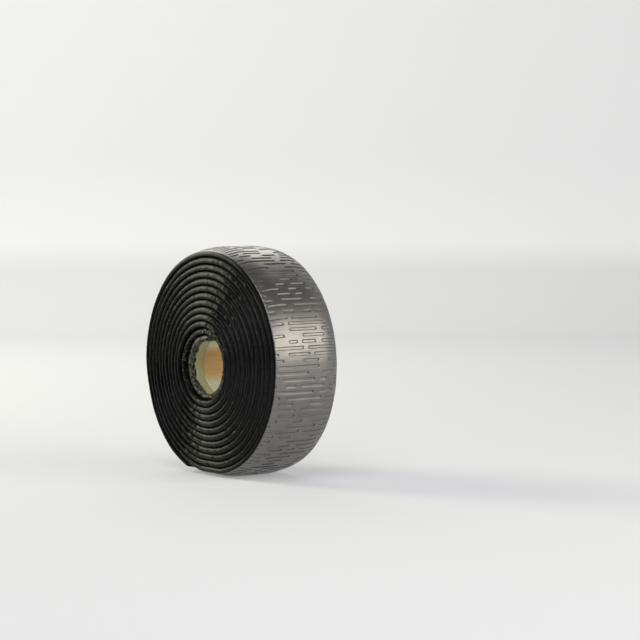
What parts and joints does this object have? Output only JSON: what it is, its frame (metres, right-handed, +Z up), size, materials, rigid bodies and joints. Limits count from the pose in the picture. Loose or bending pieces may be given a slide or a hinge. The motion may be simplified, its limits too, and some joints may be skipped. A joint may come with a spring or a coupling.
{
  "type": "handlebar tape roll",
  "caption": "Roll of padded bicycle handlebar tape, wound in a spiral round an open bore, with a crowned grip face and a paper-backed adhesive strip inside.",
  "frame": {"origin": "on the surface that the roll stands on, under the middle of its bounding box", "axes": "+Z up, Y along the roll's axis with the shown face at -Y, +X to the right as that face is seen"},
  "size_m": [0.091, 0.0342, 0.0893],
  "materials": {
    "grip_foam": "satin anthracite film, embossed with short slots, on black foam",
    "adhesive": "pale tacky strip",
    "kraft_paper": "smooth tan release paper"
  },
  "bodies": {
    "root": {"grip_tape": "grip_foam", "adhesive_strip": "adhesive", "release_paper": "kraft_paper"}
  },
  "joints": []
}
